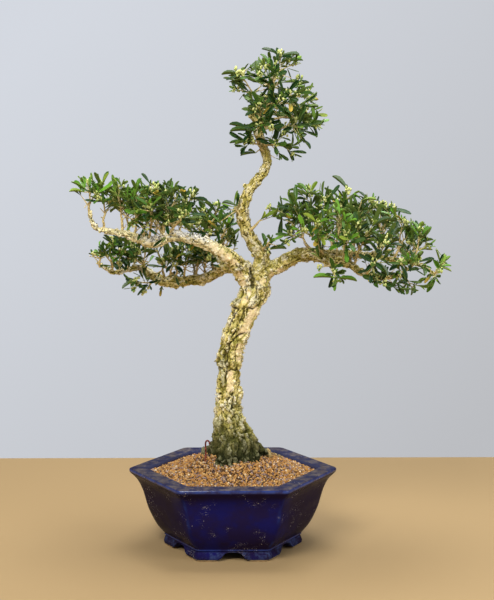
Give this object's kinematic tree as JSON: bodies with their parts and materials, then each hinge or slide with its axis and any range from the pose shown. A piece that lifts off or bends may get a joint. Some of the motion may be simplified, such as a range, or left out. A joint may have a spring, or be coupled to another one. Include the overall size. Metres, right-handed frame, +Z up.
{
  "type": "potted bonsai tree",
  "caption": "Boxwood bonsai with a leaning corky trunk, spreading limbs and leafy pads, planted in a glazed hexagonal pot on cloud feet.",
  "frame": {"origin": "centre of the whole part's box, at the underside of the pot's feet", "axes": "+Z up along the tree; the front, as in the picture, looks towards -Y; +X runs along the long right-hand limb"},
  "size_m": [0.3714, 0.1844, 0.4895],
  "materials": {
    "glaze": "glossy cobalt blue glaze with mineral specks",
    "soil": "matte granular bonsai soil",
    "bark": "rough corky bark",
    "foliage": "satin leathery leaves",
    "copper_wire": "dull copper",
    "screen": "matte"
  },
  "bodies": {
    "root": {"pot": "glaze", "soil": "soil", "trunk": "bark", "tie_wire": "copper_wire", "drain_screen": "screen", "spray_apex_01": "foliage", "spray_apex_02": "foliage", "spray_apex_03": "foliage", "spray_apex_04": "foliage", "spray_apex_05": "foliage", "spray_apex_06": "foliage", "spray_apex_07": "foliage", "spray_apex_08": "foliage", "spray_apex_09": "foliage", "spray_apex_10": "foliage", "spray_apex_11": "foliage", "spray_apex_12": "foliage", "spray_right_01": "foliage", "spray_right_02": "foliage", "spray_right_03": "foliage", "spray_right_04": "foliage", "spray_right_05": "foliage", "spray_right_06": "foliage", "spray_right_07": "foliage", "spray_right_08": "foliage", "spray_right_09": "foliage", "spray_right_10": "foliage", "spray_right_11": "foliage", "spray_right_12": "foliage", "spray_right_13": "foliage", "spray_right_14": "foliage", "spray_right_15": "foliage", "spray_right_16": "foliage", "spray_right_17": "foliage", "spray_right_18": "foliage", "spray_right_19": "foliage", "spray_left_01": "foliage", "spray_left_02": "foliage", "spray_left_03": "foliage", "spray_left_04": "foliage", "spray_left_05": "foliage", "spray_left_06": "foliage", "spray_left_07": "foliage", "spray_left_08": "foliage", "spray_left_09": "foliage", "spray_left_10": "foliage", "spray_low_01": "foliage", "spray_low_02": "foliage", "spray_low_03": "foliage", "spray_low_04": "foliage", "spray_low_05": "foliage", "spray_low_06": "foliage", "spray_low_07": "foliage", "spray_back_01": "foliage", "spray_back_02": "foliage", "spray_back_03": "foliage", "spray_back_04": "foliage", "spray_leader_01": "foliage", "spray_leader_02": "foliage", "spray_leader_03": "foliage"}
  },
  "joints": []
}
